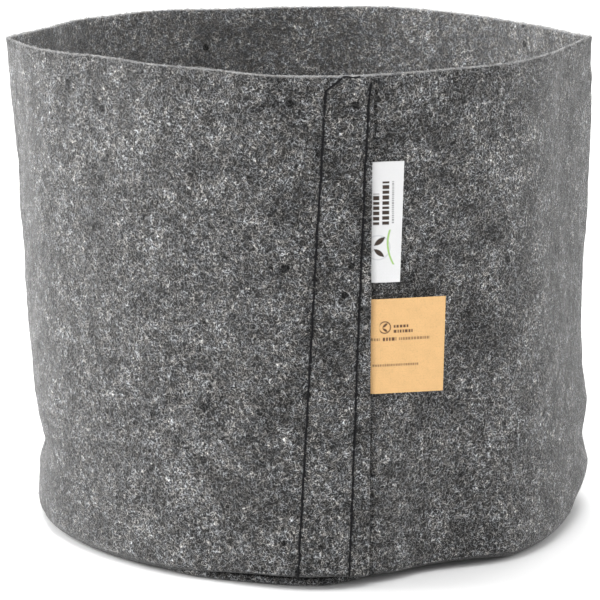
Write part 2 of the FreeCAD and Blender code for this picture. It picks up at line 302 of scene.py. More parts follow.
def graded(tree, value, low, high, at_low, at_high):
    """A value carried smoothly from one range to another and held at the ends."""
    node = add_node(tree, "ShaderNodeMapRange", interpolation_type="SMOOTHSTEP")
    for socket, number in zip(node.inputs, (value, low, high, at_low, at_high)):
        feed(tree, socket, number)
    return node.outputs[0]


def scaled(tree, colour, tone):
    """A colour times a number."""
    node = add_node(tree, "ShaderNodeVectorMath", operation="SCALE")
    feed(tree, node.inputs[0], colour)
    feed(tree, node.inputs["Scale"], tone)
    return node.outputs[0]


def raised_by(tree, shader, height, strength, distance):
    """Let a height from 0 to 1 raise the shader's surface by a distance."""
    bump = add_node(tree, "ShaderNodeBump")
    set_inputs(bump, Strength=strength, Distance=distance)
    tree.links.new(height, bump.inputs["Height"])
    tree.links.new(bump.outputs[0], shader.inputs["Normal"])


def noise(tree, where, per_metre, detail, roughness):
    """Noise in space with so many lumps a metre."""
    node = add_node(tree, "ShaderNodeTexNoise")
    feed(tree, node.inputs["Vector"], where)
    set_inputs(node, Scale=per_metre, Detail=detail, Roughness=roughness)
    return node.outputs["Fac"]


def strands(tree, where, per_metre, width, shift):
    """Curly lines: 1 where a noise passes its middle value, falling to 0 beside it."""
    moved = add_node(tree, "ShaderNodeVectorMath", operation="ADD")
    feed(tree, moved.inputs[0], where)
    moved.inputs[1].default_value = (shift, shift * 0.7, -shift * 0.4)
    value = noise(tree, moved.outputs[0], per_metre, 0.0, 0.5)
    off = calculate(tree, "ABSOLUTE", calculate(tree, "SUBTRACT", value, 0.5))
    return graded(tree, off, 0.0, width, 1.0, 0.0)


def felt_material(name, grey):
    """Melange felt: pale and dark curled fibres over grey, with blotches and dark specks.

    Where the mesh's smooth_side attribute is 1, the fibres stand out less, and the grey is painted
    paler as light on the inside of the bag.
    Where its edge attribute is 1, along the cut rim, the grey is painted paler as a highlight where
    the light catches the cut fibre ends, and where it is -1, under the wall's foot and on the
    base's fold, the felt is painted dark as shade in the seam's crevice.
    """
    material, tree, shader = new_material(name)
    where = add_node(tree, "ShaderNodeTexCoord").outputs["Object"]
    blotch = noise(tree, where, 75, 2.0, 0.55)
    mottle = noise(tree, where, 330, 2.0, 0.6)
    curl = add_node(tree, "ShaderNodeTexNoise")
    feed(tree, curl.inputs["Vector"], where)
    set_inputs(curl, Scale=420.0, Detail=1.0)
    bent = add_node(tree, "ShaderNodeVectorMath", operation="MULTIPLY_ADD")
    tree.links.new(curl.outputs["Color"], bent.inputs[0])
    bent.inputs[1].default_value = (FIBRE_CURL, FIBRE_CURL, FIBRE_CURL)
    tree.links.new(where, bent.inputs[2])
    bent = bent.outputs[0]
    pale = calculate(tree, "MAXIMUM", strands(tree, bent, 520, 0.055, 0.0),
                     strands(tree, bent, 740, 0.060, 3.7))
    dark = calculate(tree, "MAXIMUM", strands(tree, bent, 610, 0.050, 5.3),
                     strands(tree, bent, 880, 0.050, 1.9))
    cells = add_node(tree, "ShaderNodeTexVoronoi")
    feed(tree, cells.inputs["Vector"], where)
    set_inputs(cells, Scale=85.0)
    rare = calculate(tree, "GREATER_THAN", cells.outputs["Color"], 0.72)
    ragged = calculate(tree, "ADD", cells.outputs["Distance"],
                       calculate(tree, "MULTIPLY", mottle, 0.10))
    speck = graded(tree, ragged, 0.17, 0.22, 1.0, 0.0)
    speck = calculate(tree, "MULTIPLY", speck, rare)

    tone = graded(tree, blotch, 0.30, 0.70, 0.60, 1.40)
    tone = calculate(tree, "MULTIPLY", tone, graded(tree, mottle, 0.30, 0.70, 0.45, 1.55))
    grain = noise(tree, where, 1500, 1.0, 0.5)
    fibre = calculate(tree, "ADD", 0.45, calculate(tree, "MULTIPLY", pale, 2.8))
    fibre = calculate(tree, "MULTIPLY", fibre, graded(tree, grain, 0.30, 0.70, 0.40, 1.60))
    fibre = calculate(tree, "MULTIPLY", fibre, graded(tree, dark, 0.0, 1.0, 1.0, 0.10))
    tone = calculate(tree, "MULTIPLY", tone, fibre)
    smooth = add_node(tree, "ShaderNodeAttribute", attribute_name="smooth_side").outputs["Fac"]
    calm = calculate(tree, "SUBTRACT", SMOOTH_TONE, tone)
    calm = calculate(tree, "MULTIPLY", calm, calculate(tree, "MULTIPLY", smooth, SMOOTHING))
    tone = calculate(tree, "ADD", tone, calm)
    # Painted light: the inner face is made paler, standing in for light inside the bag.
    tone = calculate(tree, "MULTIPLY", tone, graded(tree, smooth, 0.0, 1.0, 1.0, INSIDE_PAINTED_LIGHT_GAIN))
    tone = calculate(tree, "MULTIPLY", tone, graded(tree, speck, 0.0, 1.0, 1.0, 0.04))
    # Painted highlight: where edge is 1, along the cut rim, the grey is painted paler as light
    # caught by the cut fibre ends.
    edge = add_node(tree, "ShaderNodeAttribute", attribute_name="edge").outputs["Fac"]
    painted_rim_highlight = calculate(tree, "MULTIPLY", calculate(tree, "SUBTRACT", RIM_HIGHLIGHT_TONE, tone),
                     graded(tree, edge, 0.0, 1.0, 0.0, RIM_HIGHLIGHT_SHARE))
    tone = calculate(tree, "ADD", tone, painted_rim_highlight)
    # Painted shade: where edge is -1, under the wall's foot and on top of the base's fold, the felt
    # is painted dark as the seam crevice's shade.
    tone = calculate(tree, "MULTIPLY", tone, graded(tree, edge, -1.0, 0.0, SEAM_PAINTED_SHADE_GAIN, 1.0))
    tint = add_node(tree, "ShaderNodeMix", data_type="VECTOR")
    feed(tree, tint.inputs[0], graded(tree, curl.outputs["Fac"], 0.35, 0.65, 0.0, 1.0))
    tint.inputs[4].default_value = [part * grey for part in (1.04, 1.00, 0.95)]
    tint.inputs[5].default_value = [part * grey for part in (0.97, 1.00, 1.04)]
    tree.links.new(scaled(tree, tint.outputs[1], tone), shader.inputs["Base Color"])
    set_inputs(shader, Roughness=0.95, Specular_IOR_Level=0.15, Sheen_Weight=0.35,
               Sheen_Roughness=0.45)
    height = calculate(tree, "ADD", calculate(tree, "MULTIPLY", fibre, 0.35), mottle)
    raised_by(tree, shader, height, 0.8, 0.5 * MM)
    return material


felt = felt_material("grey_felt", FELT_GREY)


def to_angle(place):
    """Degrees from the front for a distance along the wall."""
    return np.degrees(place / bag_radius)


def layer_offset(place):
    """How far out the strip lies where it has climbed over its own inner end."""
    return (LAP_GAP + FELT) * soft_step(place, circuit + lap_edge - LAP_WIDTH - CLIMB,
                                        circuit + lap_edge - LAP_WIDTH)


def foot_rise(place):
    """Rise of the foot of the inner end, which lies on the outer end's foot in the lap."""
    return (LAP_GAP + FELT) * (1 - soft_step(place, lap_edge, lap_edge + 5 * MM))


def foot_level(angle):
    """Height of the wall's lowest line: up on the seam at the front, sagging elsewhere."""
    front = front_span(angle, *SHOWING_SEAM)
    right = soft_span(angle, *HANGING_FOOT) * (1 - front)
    return front * (seam_level + SEAM_GAPE) + right * HANG + (1 - front - right) * SAG


def foot_bend(angle):
    """Radius of the bend at the foot: tight where the seam shows, round where it sags."""
    showing = soft_span(angle, -28, 40, 24)
    return showing * TIGHT_BEND + (1 - showing) * ROUND_BEND


def fine_relief(angle, height, seed):
    """The felt's own lumps: short ripples over a few millimetres."""
    return (ripple(angle, height, seed, waves=30, turns=90, rises=700, size=0.11 * MM)
            + ripple(angle, height, seed + 1, waves=24, turns=34, rises=240, size=0.16 * MM))


# The two stitched rows pull the outer layer down along two nearly upright lines: name, place
# along the wall at the rim and at the foot, and how far below the rim the first hole is.
ROW_LINES = (("side_seam_row_1", 9.6 * MM, -1.8 * MM, 6.0 * MM),
             ("side_seam_row_2", 26.6 * MM, 19.4 * MM, 3.6 * MM))
GROOVE_SPREAD = 1.2 * MM
GROOVE_DEPTH = 0.65 * MM


def row_place(top, foot, height):
    """Place along the wall of a stitched row at a height."""
    return foot + (top - foot) * height / bag_height


def stitch_groove(place, height):
    """Depth that the stitched rows draw the felt in by, a narrow bell across each row."""
    depth = 0
    for _, top, foot, _ in ROW_LINES:
        off = (place - row_place(top, foot, height)) / GROOVE_SPREAD
        depth = depth + GROOVE_DEPTH * np.exp(-off ** 2)
    return depth


def outer_face(place, height):
    """Radius of the strip's outer face at a place and height, with its lumps.

    The outer end stands away a little at its free edge, and presses a crease into the inner end.
    """
    angle = to_angle(place)
    radius = wall_radius(angle, height) + layer_offset(place) + fine_relief(angle, height, 21)
    in_lap = soft_step(place, circuit - 14 * MM, circuit - 12 * MM)
    radius = radius - in_lap * stitch_groove(place - circuit, height)
    lift = 0.5 * MM * soft_step(place, circuit + lap_edge - 4 * MM, circuit + lap_edge)
    crease = 0.9 * MM * np.exp(-((place - lap_edge - 0.8 * MM) / (1.1 * MM)) ** 2)
    return radius + lift - crease


def closed_loop_mesh(name, grid):
    """A solid from a grid of points: rows of columns, each column a closed loop.

    The loop starts at one tip of a long thin outline and passes the other half-way, so each
    end is closed by rungs between opposite points.  Faces are turned to make the volume
    positive.
    """
    columns, loop = grid.shape[:2]
    index = np.arange(columns * loop).reshape(columns, loop)
    a = index[:-1]
    b = index[1:]
    sides = np.stack([a, b, np.roll(b, -1, 1), np.roll(a, -1, 1)], -1).reshape(-1, 4)
    rung = np.arange(loop // 2 - 1)
    far = loop - 1 - rung
    cap = np.stack([index[0, rung], index[0, rung + 1], index[0, far - 1], index[0, far]], -1)
    end = np.stack([index[-1, far], index[-1, far - 1], index[-1, rung + 1], index[-1, rung]], -1)
    return solid(name, grid.reshape(-1, 3), np.concatenate([sides, cap, end]))


def solid(name, points, quads, triangles=np.zeros((0, 3), int)):
    """An object from points and faces, turned right side out and shaded smooth."""
    p = points[quads]
    volume = (np.einsum("ij,ij->i", p[:, 0], np.cross(p[:, 1], p[:, 2]))
              + np.einsum("ij,ij->i", p[:, 0], np.cross(p[:, 2], p[:, 3]))).sum()
    if volume < 0:
        quads, triangles = quads[:, ::-1], triangles[:, ::-1]
    corners = np.concatenate([quads.ravel(), triangles.ravel()]).astype(np.int32)
    starts = np.concatenate([np.arange(len(quads)) * 4,
                             quads.size + np.arange(len(triangles)) * 3]).astype(np.int32)
    mesh = bpy.data.meshes.new(name)
    mesh.vertices.add(len(points))
    mesh.vertices.foreach_set("co", points.astype(np.float32).ravel())
    mesh.loops.add(len(corners))
    mesh.loops.foreach_set("vertex_index", corners)
    mesh.polygons.add(len(starts))
    mesh.polygons.foreach_set("loop_start", starts)
    mesh.polygons.foreach_set("use_smooth", np.ones(len(starts), bool))
    mesh.update(calc_edges=True)
    mesh.validate()
    piece = bpy.data.objects.new(name, mesh)
    bpy.context.collection.objects.link(piece)
    return piece


def mark_points(piece, name, values):
    """Keep a number for each point of a piece, for its material to read."""
    layer = piece.data.attributes.new(name, "FLOAT", "POINT")
    layer.data.foreach_set("value", np.ravel(values).astype(np.float32))


def wall_side(place, face, sign):
    """Points of one side of the wall, from the cut edge of its foot up to the rim.

    face is 0 on the outer side and the felt's thickness on the inner one.  The side is the
    flat foot, a climb down to where it sags, a quarter bend, and the upright wall.
    """
    angle = to_angle(place)
    level = foot_level(angle) + foot_rise(place)
    bend = foot_bend(angle)
    flat_level = seam_level + foot_rise(place)
    start = bend + FOOT_DIP
    along = np.linspace(1, 0, 7)[None]
    flat_inset = start + ALLOWANCE_FLAT * along
    flat_height = flat_level + face + 0 * along
    dip = np.linspace(0, 1, 5)[None, 1:]
    dip_inset = start + (bend - start) * dip
    dip_height = flat_level + (level - flat_level) * soft_step(dip, 0, 1) + face
    turn = np.radians(np.linspace(90, 0, 8))[None, 1:]
    turn_inset = bend - (bend - face) * np.cos(turn)
    turn_height = level + bend - (bend - face) * np.sin(turn)
    rise = np.linspace(0, 1, 104)[None, 1:]
    top = bag_height - RIM_ROUND
    low = level + bend
    rise_height = low + (top - low) * rise
    rise_inset = face + 0 * rise_height
    inset = np.concatenate([flat_inset + 0 * flat_height, dip_inset + 0 * dip_height,
                            turn_inset, rise_inset], 1)
    height = np.concatenate([flat_height + 0 * flat_inset, dip_height, turn_height,
                             rise_height], 1)
    outside = outer_face(place, height)
    inside = (wall_radius(angle, height) + layer_offset(place)
              + fine_relief(angle, height, 33))
    radius = (inside if sign else outside) - inset
    foot = height < level + bend * 0.999
    steady = wall_radius(angle, level + bend) + layer_offset(place) - inset
    radius = np.where(foot, steady + (radius - steady) * soft_step(height, level, level + bend),
                      radius)
    return around(angle, radius, height + rim_lift(angle, height))


lap_start = lap_edge - LAP_WIDTH
places = np.concatenate([
    np.linspace(lap_start, lap_edge - 2 * MM, 27)[:-1],
    np.linspace(lap_edge - 2 * MM, lap_edge + 6 * MM, 21)[:-1],
    np.linspace(lap_edge + 6 * MM, circuit + lap_start - CLIMB, 232)[:-1],
    np.linspace(circuit + lap_start - CLIMB, circuit + lap_start, 18)[:-1],
    np.linspace(circuit + lap_start, circuit + lap_edge, 72),
])[:, None]

outer_side = wall_side(places, 0.0, 0)
inner_side = wall_side(places, FELT, 1)
crown = 0.5 * (outer_side[:, -1:] + inner_side[:, -1:])
across = outer_side[:, -1:] - inner_side[:, -1:]
arch = np.radians(np.linspace(0, 180, 6))[None, 1:-1, None]
upright = np.array([0.0, 0.0, 1.0])
rim_points = crown + across / 2 * np.cos(arch) + upright * RIM_ROUND * np.sin(arch)
wall = closed_loop_mesh("wall_panel_felt", np.concatenate(
    [outer_side, rim_points, inner_side[:, ::-1]], 1))
wall.data.materials.append(felt)
# Painted shade: these points of the wall's foot over the seam are marked -1 in edge and painted
# dark.
PAINTED_SHADE_UNDERSIDE = slice(3, 15)  # the points of a column that face the base
# The inner face: smoother felt, and painted paler as light inside the bag.
inward = np.zeros((len(places), outer_side.shape[1] + rim_points.shape[1] + inner_side.shape[1]))
inward[:, -inner_side.shape[1]:] = 1
mark_points(wall, "smooth_side", inward)
edge = np.zeros(inward.shape)
# the rim's points, painted paler as a highlight
edge[:, outer_side.shape[1]:-inner_side.shape[1]] = 1
# the underside is painted dark as shade in the seam's crevice
edge[:, PAINTED_SHADE_UNDERSIDE] = -1
mark_points(wall, "edge", edge)
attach(wall, "bag")
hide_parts("wall_panel")

# ---------------------------------------------------------------- base disc
# A disc of the same felt whose edge is folded back over the top, so that the wall's turned-in
# foot is sewn to three layers.  The fold shows as a narrow band under the wall at the front.

FOLD_RADIUS = seam_level / 2
SLIT_HALF = 0.35 * MM
TURNED_BACK = 9.0 * MM
SHOWING_BAND = (-42, -22, 3, 18)  # degrees between which the fold comes out, and goes back
SHOWING_RECESS = 3.0 * MM
HIDDEN_RECESS = 10.0 * MM
# Painted shade: these points of the fold, under the wall's foot, are painted dark as the seam
# crevice's shade.
PAINTED_SHADE_FOLD_TOP = slice(33, 39)  # the points of a spoke that face the wall's foot


def base_recess(angle):
    """How far the folded edge lies inside the wall: least where it shows at the front."""
    front = front_span(angle, *SHOWING_BAND)
    return front * SHOWING_RECESS + (1 - front) * HIDDEN_RECESS


def base_lumps(angle, radius):
    """Slow waves of the base between the stitches, none at its edge."""
    slow = ripple(angle, radius, seed=41, waves=12, turns=5, rises=60, size=0.35 * MM)
    return slow * soft_step(-radius, -115 * MM, -90 * MM)


around_base = np.linspace(-180, 180, 361)[:-1, None]
fold_out = wall_radius(around_base, seam_level) - base_recess(around_base)
fold_centre = fold_out - FOLD_RADIUS
spokes = np.linspace(0, 1, 26)[None, 1:]
turn = np.radians(np.linspace(-90, 90, 13))[None]
slit_turn = np.radians(np.linspace(90, -90, 7))[None]
cut_edge = fold_centre - TURNED_BACK
flat = spokes * fold_centre
back = np.linspace(1, 0, 7)[None, 1:]
top_flat = (1 - spokes[:, :-1]) * fold_centre
radii = np.concatenate([
    flat, fold_centre + FOLD_RADIUS * np.cos(turn[:, 1:]),
    cut_edge + (fold_centre - cut_edge) * back, cut_edge + 0 * back[:, :1],
    cut_edge + (fold_centre - cut_edge) * (1 - back),
    fold_centre + SLIT_HALF * np.cos(slit_turn[:, 1:]), top_flat], 1)
levels = np.concatenate([
    0 * flat, FOLD_RADIUS + FOLD_RADIUS * np.sin(turn[:, 1:]) + 0 * fold_centre,
    seam_level + 0 * fold_centre + 0 * back, seam_level - FELT + 0 * fold_centre,
    seam_level - FELT + 0 * fold_centre + 0 * back,
    FOLD_RADIUS + SLIT_HALF * np.sin(slit_turn[:, 1:]) + 0 * fold_centre,
    FELT + 0 * top_flat + base_lumps(around_base, top_flat)], 1)
base_grid = around(around_base, radii, levels)
bottom_middle = np.array([[0.0, 0.0, 0.0]])
top_middle = np.array([[0.0, 0.0, FELT]])


def capped_mesh(name, grid, first_tip, last_tip):
    """A solid from rings of points: a grid of (round, along), closed by a tip at each end."""
    rounds, alongs = grid.shape[:2]
    index = np.arange(rounds * alongs).reshape(rounds, alongs)
    over = np.roll(index, -1, 0)
    sides = np.stack([index[:, :-1], over[:, :-1], over[:, 1:], index[:, 1:]], -1).reshape(-1, 4)
    first = np.full(rounds, rounds * alongs)
    fans = np.concatenate([np.stack([first, over[:, 0], index[:, 0]], -1),
                           np.stack([first + 1, index[:, -1], over[:, -1]], -1)])
    points = np.concatenate([grid.reshape(-1, 3), first_tip, last_tip])
    return solid(name, points, sides, fans)


base = capped_mesh("base_disc_felt", base_grid, bottom_middle, top_middle)
base.data.materials.append(felt)
edge = np.zeros(base_grid.shape[:2])
# the fold's top is painted dark as shade in the seam's crevice
edge[:, PAINTED_SHADE_FOLD_TOP] = -1
mark_points(base, "edge", np.append(edge, [0, 0]))
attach(base, "bag")
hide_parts("base_disc")

# ---------------------------------------------------------------- side seam threads
# Two rows of black bonded thread, lockstitched through both layers of the lap.  The needle
# thread lies outside and the bobbin thread inside, and both dip into the felt at each hole.

THREAD = 0.95 * MM
THREAD_STAND = 0.56 * THREAD
STITCH = 5.4 * MM
HOLE_DEPTH = 1.5 * MM
THREAD_BLACK = (0.006, 0.006, 0.007)
TWIST = 1.9 * MM
TUBE_SIDES = 8


def thread_material():
    """Black bonded thread: two twisted plies as slanting grooves, slightly glossy."""
    material, tree, shader = new_material("black_thread")
    uv = add_node(tree, "ShaderNodeUVMap", uv_map="length_and_turn")
    parts = add_node(tree, "ShaderNodeSeparateXYZ")
    tree.links.new(uv.outputs[0], parts.inputs[0])
    wave = calculate(tree, "ADD", calculate(tree, "MULTIPLY", parts.outputs[0], 1 / TWIST),
                     parts.outputs[1])
    ply = calculate(tree, "ABSOLUTE", calculate(tree, "SINE", calculate(
        tree, "MULTIPLY", wave, 2 * math.pi)))
    where = add_node(tree, "ShaderNodeTexCoord").outputs["Object"]
    fluff = noise(tree, where, 4000, 2.0, 0.6)
    # Painted shade: the grooves between the twisted plies are painted darker.
    tone = calculate(tree, "ADD", graded(tree, ply, 0.0, 0.6, 0.35, 1.0), fluff)
    tree.links.new(scaled(tree, THREAD_BLACK, tone), shader.inputs["Base Color"])
    set_inputs(shader, Roughness=0.55, Specular_IOR_Level=0.12)
    raised_by(tree, shader, ply, 0.8, 0.2 * MM)
    return material


black_thread = thread_material()


def thread_path(holes, outward, seed):
    """Centre line of a thread over its holes, and the side vector that its tube turns about.

    holes are points on the felt's face and outward the directions away from it.  Between two
    holes the thread stands off by a steep-sided arch and wanders a little sideways.
    """
    draw = np.random.default_rng(seed)
    share = (1 - np.cos(np.linspace(0, math.pi, 11))) / 2
    share = share[None, :-1, None]
    start, end = holes[:-1, None], holes[1:, None]
    out = outward[:-1, None] * (1 - share) + outward[1:, None] * share
    side = np.cross(end - start, out)
    side /= np.linalg.norm(side, axis=-1, keepdims=True)
    arch = np.sin(math.pi * share) ** 0.4
    stand = THREAD_STAND - HOLE_DEPTH * (1 - arch)
    stand = stand + draw.normal(0, 0.06 * MM, start.shape[:1] + (1, 1)) * arch
    sway = draw.normal(0, 0.12 * MM, start.shape[:1] + (1, 1)) * arch
    line = start * (1 - share) + end * share + out * stand + side * sway
    tip = holes[-1] - outward[-1] * HOLE_DEPTH
    return (np.concatenate([line.reshape(-1, 3), tip[None]]),
            np.concatenate([side.reshape(-1, 3), side[-1, -1:]]))


def lay_uv(piece, name, places):
    """Give each corner of a face the two numbers kept for its point."""
    vertex = np.empty(len(piece.data.loops), np.int32)
    piece.data.loops.foreach_get("vertex_index", vertex)
    layer = piece.data.uv_layers.new(name=name)
    layer.data.foreach_set("uv", places[vertex].astype(np.float32).ravel())


def tube_mesh(name, line, side, radius, joined=False):
    """A round tube along a line; each ring is turned about the side vector at its point.

    The tube is closed by a tip at each end, or into a ring where joined is True.
    """
    if joined:
        ahead = np.roll(line, -1, 0) - np.roll(line, 1, 0)
    else:
        ahead = np.gradient(line, axis=0)
    over = np.cross(ahead, side)
    over /= np.linalg.norm(over, axis=-1, keepdims=True)
    phase = np.linspace(0, 2 * math.pi, TUBE_SIDES, endpoint=False)[:, None, None]
    grid = line[None] + radius * (np.cos(phase) * side[None] + np.sin(phase) * over[None])
    length = np.concatenate([[0], np.cumsum(np.linalg.norm(np.diff(line, axis=0), axis=1))])
    if joined:
        index = np.arange(grid.shape[0] * grid.shape[1]).reshape(grid.shape[:2])
        up, on = np.roll(index, -1, 0), np.roll(index, -1, 1)
        quads = np.stack([index, on, np.roll(up, -1, 1), up], -1).reshape(-1, 4)
        piece = solid(name, grid.reshape(-1, 3), quads)
    else:
        piece = capped_mesh(name, grid, line[:1], line[-1:])
    turn_of = np.append(np.repeat(np.arange(TUBE_SIDES), len(line)) / TUBE_SIDES, [0, 0])
    length_of = np.append(np.tile(length, TUBE_SIDES), [0, length[-1]])
    lay_uv(piece, "length_and_turn", np.stack([length_of, turn_of], -1))
    piece.data.materials.append(black_thread)
    return piece


def thread_piece(name, line, side, joined=False):
    """A thread that stands for the CAD node of the same name."""
    piece = tube_mesh(name + "_strand", line, side, THREAD / 2, joined)
    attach(piece, "bag")
    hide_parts(name)


def on_lap(place, height):
    """Point of the lap's outer face and the direction away from it."""
    angle = to_angle(place)
    out = around(angle, 1.0, 0.0)
    return around(angle, outer_face(place + circuit, height), height + rim_lift(angle, height)), out


def inside_lap(place, height):
    """Point of the bag's inner face at the seam and the direction away from it."""
    angle = to_angle(place)
    radius = wall_radius(angle, height) + fine_relief(angle, height, 33) - FELT
    return around(angle, radius, height + rim_lift(angle, height)), around(angle, -1.0, 0.0)


TAIL = 6.8 * MM


def rim_tail(hole_place):
    """The loose end of the left row: from its tip, along the rim's outer edge, to the hole."""
    share = np.linspace(1, 0, 14)[:-1]
    place = hole_place + share * TAIL
    height = bag_height - 0.4 * MM + 0.25 * MM * np.sin(share * 7)
    radius = outer_face(place + circuit, height) + THREAD * (0.35 - 0.5 * (1 - share) ** 6)
    return around(to_angle(place), radius, height + rim_lift(to_angle(place), height))


ROW_LOWEST = 5.6 * MM
RUNOUT = 6.2 * MM
for seed, (row, top, foot, below) in enumerate(ROW_LINES):
    top_level = bag_height - below
    stitches = round((top_level - ROW_LOWEST) / STITCH)
    levels = np.linspace(top_level, ROW_LOWEST, stitches + 1)
    placed = row_place(top, foot, levels)
    if row == "side_seam_row_1":
        levels = np.concatenate([[bag_height - 0.6 * MM], levels])
        placed = np.concatenate([placed[:1] + RUNOUT, placed])
    for thread, face in (("needle", on_lap), ("bobbin", inside_lap)):
        line, side = thread_path(*face(placed, levels), seed + 11)
        if (row, thread) == ("side_seam_row_1", "needle"):
            line = np.concatenate([rim_tail(placed[0]), line])
            side = np.concatenate([np.repeat(side[:1], len(line) - len(side), 0), side])
        thread_piece("%s_%s_thread" % (row, thread), line, side)

# ---------------------------------------------------------------- base seam threads
# One closed row round the bag through the wall's turned-in foot and the folded edge of the
# base: the needle thread lies on the foot inside the bag, the bobbin thread in the fold's slit.

BASE_STITCHES = 144
SEAM_INSIDE_FOLD = 2.9 * MM

stitched = np.linspace(-180, 180, BASE_STITCHES + 1)
stitch_circle = (wall_radius(stitched, seam_level) - base_recess(stitched) - SEAM_INSIDE_FOLD)
lap_half = to_angle(LAP_WIDTH / 2)
lap_middle = to_angle(lap_edge) - lap_half
raised = (LAP_GAP + FELT) * soft_span(stitched, lap_middle - lap_half, lap_middle + lap_half, 2)
upward = np.zeros((BASE_STITCHES + 1, 3)) + upright
for thread, level in (("needle", seam_level + FELT + raised), ("bobbin", seam_level - FELT)):
    holes = around(stitched, stitch_circle, level)
    if thread == "bobbin":
        line, side = thread_path(holes, upward, 31)
        line[:, 2] = np.maximum(line[:, 2], FELT + THREAD / 2)
    else:
        line, side = thread_path(holes, upward, 32)
    thread_piece("base_seam_%s_thread" % thread, line[:-1], side[:-1], joined=True)

# ---------------------------------------------------------------- woven label
# A white satin ribbon folded once, both its ends sewn into the lap beside the free edge.  It
# carries made-up marks: two columns of dark dashes, a column of fine ones, and a sprout.

WOVEN_WIDTH = 12.4 * MM
WOVEN_SLANT = 1.4 * MM
WOVEN_PLY = 0.24 * MM
WOVEN_LOOP = 0.42 * MM
TUCKED = 9.0 * MM
PRINT_STEP = 0.22 * MM
LEAF_STAND = 0.8 * MM
LEAF_TURN = 1.2
SATIN_WHITE = (0.76, 0.76, 0.765)
DARK_INK = (0.040, 0.024, 0.015)
GREEN_INK = (0.34, 0.55, 0.16)
GREY_INK = (0.50, 0.52, 0.54)

hinge_angle = math.degrees(math.atan2(hinge_at[0], -hinge_at[1]))
hinge_radius = math.hypot(hinge_at[0], hinge_at[1])


def label_frame(along, height):
    """Middle surface of a label and the direction away from the wall.

    along is the distance past the free edge.  In the lap the label follows the gap between the
    layers; past the swing line it is a straight leaf turned a little off the wall's tangent.
    """
    angle = to_angle(lap_edge + along)
    curved = around(angle, wall_radius(angle, height) + LAP_GAP / 2, height)
    leaf = math.radians(hinge_angle - LEAF_TURN)
    forward = np.array([math.cos(leaf), math.sin(leaf), 0])
    outward = np.array([math.sin(leaf), -math.cos(leaf), 0])
    root = around(hinge_angle, hinge_radius + LEAF_STAND, 0.0)
    past = (along - HINGE_PAST_EDGE)[..., None]
    straight = root + past * forward + upright * height[..., None]
    mix = soft_step(along, -1.5 * MM, HINGE_PAST_EDGE + 1 * MM)[..., None]
    return curved * (1 - mix) + straight * mix, outward + 0 * curved


def soft_box(value, low, high):
    """1 between two lengths and 0 outside, with edges a tenth of a millimetre wide."""
    edge = 0.1 * MM
    rise = soft_step(value, low - edge, low + edge)
    return rise * (1 - soft_step(value, high - edge, high + edge))


def dashes(along, across, span, band, longest, seed):
    """Coverage of a row of dashes of uneven length, from span's start to its end."""
    draw = np.random.default_rng(seed)
    cover = 0 * along
    at = span[0]
    while at < span[1]:
        length = draw.uniform(0.45, 1.0) * longest
        cover = cover + soft_box(along, at * MM, min(at + length, span[1]) * MM)
        at += length + 0.3 * longest
    return cover * soft_box(across, band[0] * MM, band[1] * MM)


def leaf_shape(along, up, middle, half, turn):
    """Coverage of a pointed oval at a middle, with half its length and width, turned."""
    turn = math.radians(turn)
    x, y = along / MM - middle[0], up / MM - middle[1]
    far = (x * math.cos(turn) + y * math.sin(turn)) / half[0]
    wide = (y * math.cos(turn) - x * math.sin(turn)) / half[1]
    return 1 - soft_step(np.abs(wide) + far ** 2, 0.88, 1.08)


def stroke(along, up, line, width):
    """Coverage of a line whose place across is a quadratic of the height, within its span."""
    low, high, a, b, c = line
    y = (up / MM - low) / (high - low)
    off = np.abs(along / MM - (a + b * y + c * y ** 2))
    return (1 - soft_step(off, width - 0.12, width + 0.12)) * soft_box(up, low * MM, high * MM)


def printed(cover, ink, under=None):
    """Colour and coverage of one more ink over those already printed."""
    if under is None:
        return np.concatenate([np.broadcast_to(ink, cover.shape + (3,)), cover[..., None]], -1)
    colour = under[..., :3] + (np.array(ink) - under[..., :3]) * cover[..., None]
    return np.concatenate([colour, np.maximum(under[..., 3:], cover[..., None])], -1)


def label_mesh(name, middle, outward, thickness, along, up, ink):
    """A label of one thickness from its middle surface, with its places and its print.

    The first half of each loop of points is the printed side and the second half the back.
    """
    grid = np.concatenate([middle + outward * thickness / 2,
                           (middle - outward * thickness / 2)[:, ::-1]], 1)
    piece = closed_loop_mesh(name, grid)
    back = np.zeros_like(ink)
    layer = piece.data.color_attributes.new("print", "FLOAT_COLOR", "POINT")
    layer.data.foreach_set("color", np.concatenate([ink, back], 1).astype(np.float32).ravel())
    places = np.stack([np.concatenate([part, part[:, ::-1]], 1) for part in (along, up)], -1)
    lay_uv(piece, "place_in_cut", places.reshape(-1, 2))
    return piece


